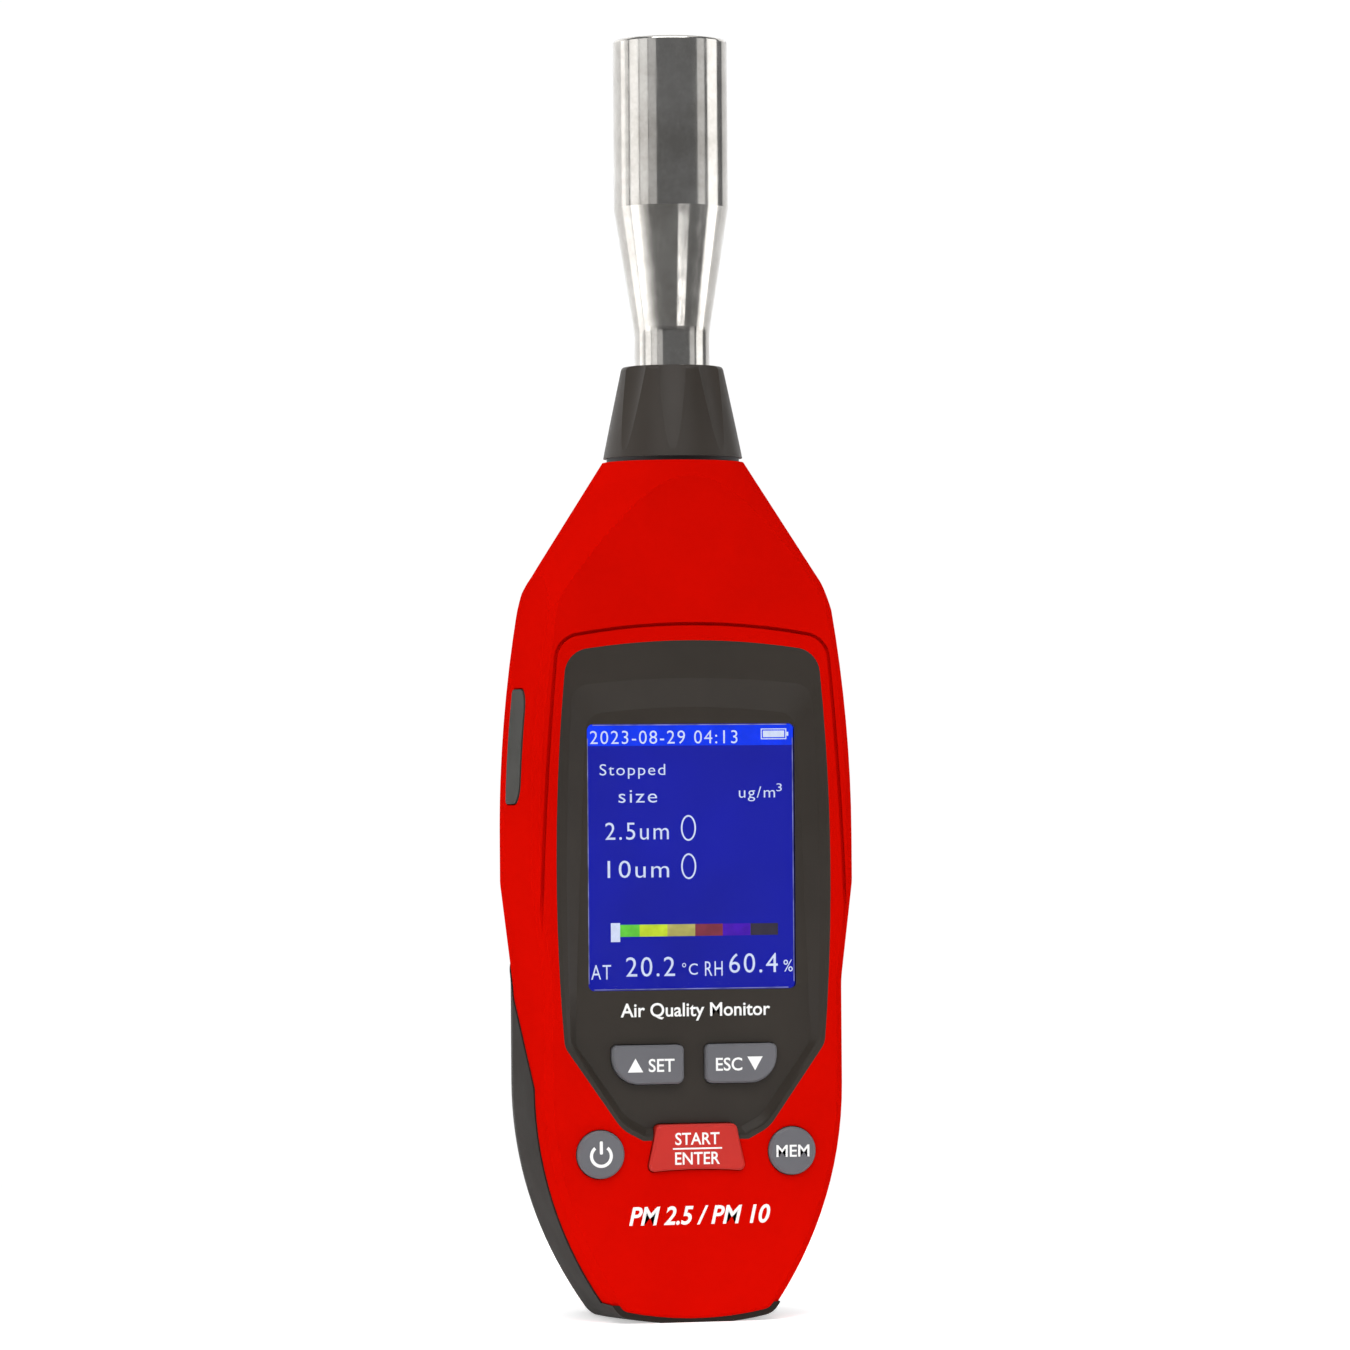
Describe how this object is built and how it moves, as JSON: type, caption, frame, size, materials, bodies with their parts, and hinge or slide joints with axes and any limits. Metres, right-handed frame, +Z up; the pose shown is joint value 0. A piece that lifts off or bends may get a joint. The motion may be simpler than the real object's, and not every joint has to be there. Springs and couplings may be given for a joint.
{
  "type": "hand-held air quality monitor",
  "caption": "Hand-held air quality monitor with a steel sampling inlet, colour display, push keys and a rubber-booted waisted body.",
  "frame": {"origin": "centre of the foot the instrument stands on, at the middle of its bounding box's base", "axes": "+Z up along the instrument to the inlet's mouth, -Y out of the display, +X to the right seen from the front"},
  "size_m": [0.0546, 0.03, 0.205],
  "materials": {
    "body_red": "satin soft-touch",
    "boot_rubber": "matt",
    "panel_dark": "satin",
    "collar_dark": "satin",
    "polished_steel": "polished stainless steel",
    "key_grey": "satin",
    "key_red": "satin",
    "cover_grey": "matt",
    "window_clear": "clear",
    "lcd_screen": "lit display",
    "frame_white": "satin",
    "flex_amber": "satin",
    "board_green": "solder resist",
    "chip_black": "matt",
    "switch_metal": "satin",
    "socket_steel": "bright",
    "steel_screw": "zinc plated",
    "brass_insert": "turned",
    "gold_contact": "gold plated",
    "seal_black": "matt",
    "nylon_black": "matt",
    "silicone_tube": "translucent",
    "sensor_black": "matt",
    "sensor_white": "matt",
    "battery_wrap": "heat-shrink wrap"
  },
  "bodies": {
    "housing": {"front_cover": "body_red", "rear_cover": "body_red", "bumper_boot": "boot_rubber", "bezel": "panel_dark", "battery_door": "body_red", "door_screw": "steel_screw", "case_screws": "steel_screw", "board_screws": "steel_screw", "tripod_insert": "brass_insert", "inlet_probe": "polished_steel", "inlet_collar": "collar_dark", "collar_seal": "seal_black", "neck_bush": "nylon_black", "probe_seal": "seal_black", "inlet_tube": "silicone_tube", "sensor_housing": "sensor_black", "sensor_lid": "sensor_black", "laser_diode": "brass_insert", "photodetector": "sensor_black", "fan_frame": "nylon_black", "display_window": "window_clear", "lcd_module": "lcd_screen", "lcd_frame": "frame_white", "lcd_flex": "flex_amber", "main_board": "board_green", "board_chips": "chip_black", "tact_switches": "switch_metal", "usb_socket": "socket_steel", "buzzer": "nylon_black", "climate_sensor": "sensor_white", "battery": "battery_wrap", "battery_contacts": "gold_contact"},
    "set_key": {"set_key": "key_grey"},
    "esc_key": {"esc_key": "key_grey"},
    "start_key": {"start_key": "key_red"},
    "power_key": {"power_key": "key_grey"},
    "mem_key": {"mem_key": "key_grey"},
    "port_cover": {"port_cover": "cover_grey"},
    "fan_rotor": {"fan_rotor": "nylon_black"}
  },
  "joints": [
    {"name": "set_press", "type": "slide", "parent": "housing", "child": "set_key", "axis": [0, 1, 0], "range_m": [0, 0.0006], "stiffness_N_per_m": 600, "springref_m": -0.0004},
    {"name": "esc_press", "type": "slide", "parent": "housing", "child": "esc_key", "axis": [0, 1, 0], "range_m": [0, 0.0006], "stiffness_N_per_m": 600, "springref_m": -0.0004},
    {"name": "start_press", "type": "slide", "parent": "housing", "child": "start_key", "axis": [0, 1, 0], "range_m": [0, 0.0006], "stiffness_N_per_m": 600, "springref_m": -0.0004},
    {"name": "power_press", "type": "slide", "parent": "housing", "child": "power_key", "axis": [0, 1, 0], "range_m": [0, 0.0006], "stiffness_N_per_m": 600, "springref_m": -0.0004},
    {"name": "mem_press", "type": "slide", "parent": "housing", "child": "mem_key", "axis": [0, 1, 0], "range_m": [0, 0.0006], "stiffness_N_per_m": 600, "springref_m": -0.0004},
    {"name": "port_cover_hinge", "type": "hinge", "parent": "housing", "child": "port_cover", "pos_m": [-0.02684, 0.0017, 0.0915], "axis": [-0.0711, 0, -0.9975], "range_deg": [0, 110]},
    {"name": "fan_spin", "type": "hinge", "parent": "housing", "child": "fan_rotor", "pos_m": [0, 0.008, 0.0995], "axis": [0, 1, 0], "continuous": true}
  ]
}
